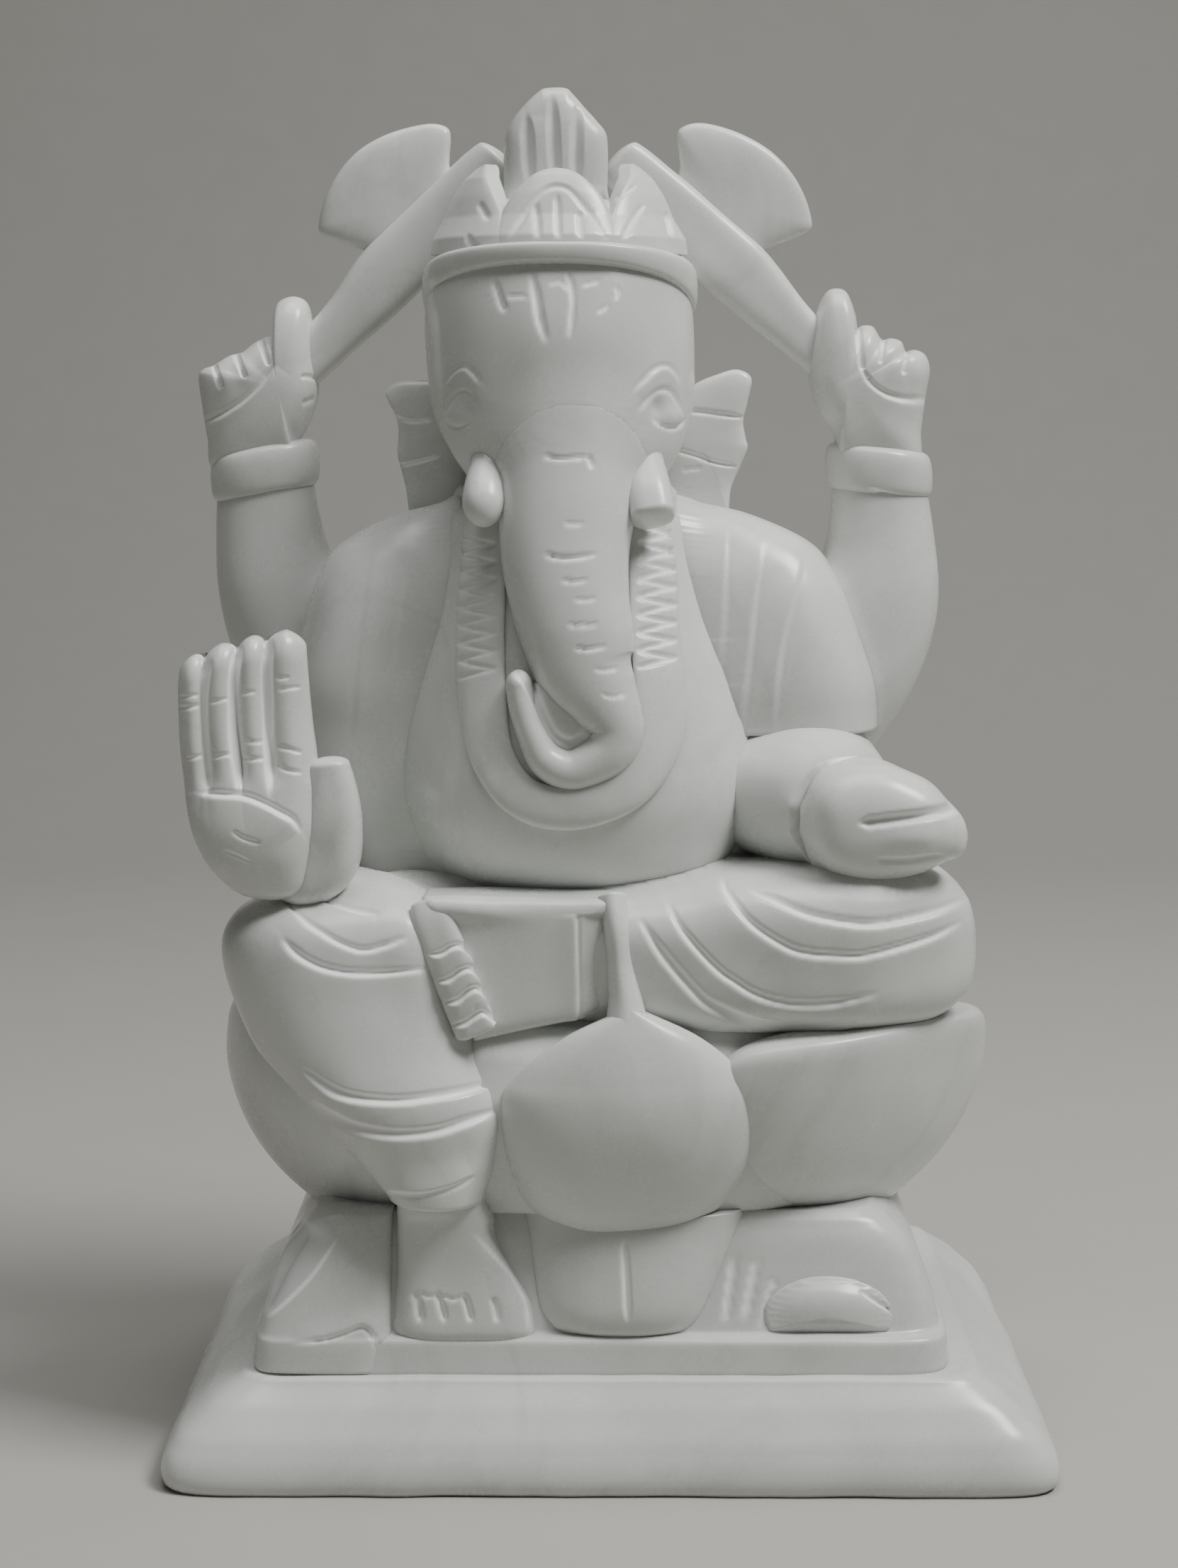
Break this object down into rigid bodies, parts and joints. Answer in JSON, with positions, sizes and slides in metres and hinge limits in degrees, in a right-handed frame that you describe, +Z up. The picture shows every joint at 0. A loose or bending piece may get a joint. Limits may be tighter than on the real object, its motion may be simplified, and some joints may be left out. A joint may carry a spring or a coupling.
{
  "type": "ganesha idol",
  "caption": "Seated elephant-headed idol with raised palm, rear hands holding axes and a tall crown, on a lotus seat and stepped base, carved in white marble.",
  "frame": {"origin": "centre of the base's underside, on the surface it stands on", "axes": "+Z up, the figure faces -Y, +X to the right of a viewer in front of it"},
  "size_m": [0.1498, 0.103, 0.2308],
  "materials": {
    "marble": "polished, with rough incised lines"
  },
  "bodies": {
    "root": {"apron": "marble", "axe_blade_left": "marble", "axe_blade_right": "marble", "axe_handle_left": "marble", "axe_handle_right": "marble", "base_slab": "marble", "belly": "marble", "bracelet_left": "marble", "bracelet_right": "marble", "crown_band": "marble", "crown_cap": "marble", "crown_peak": "marble", "crown_tooth_front": "marble", "crown_tooth_left": "marble", "crown_tooth_right": "marble", "ear_left": "marble", "ear_right": "marble", "fist_left": "marble", "fist_right": "marble", "front_arm_left": "marble", "front_arm_right": "marble", "front_hand_left": "marble", "front_hand_right": "marble", "garland": "marble", "head": "marble", "left_foot": "marble", "left_shin": "marble", "left_thigh": "marble", "lotus_cup": "marble", "lotus_petal_back": "marble", "lotus_petal_front": "marble", "lotus_petal_left": "marble", "lotus_petal_rear_left": "marble", "lotus_petal_rear_right": "marble", "lotus_petal_right": "marble", "lower_petal_front": "marble", "lower_petal_left": "marble", "lower_petal_right": "marble", "pleat": "marble", "plinth": "marble", "rear_arm_left": "marble", "rear_arm_right": "marble", "right_leg": "marble", "sash": "marble", "shoulder_drape_left": "marble", "shoulder_drape_right": "marble", "torso": "marble", "trunk": "marble", "tusk_left": "marble", "tusk_right": "marble"}
  },
  "joints": []
}
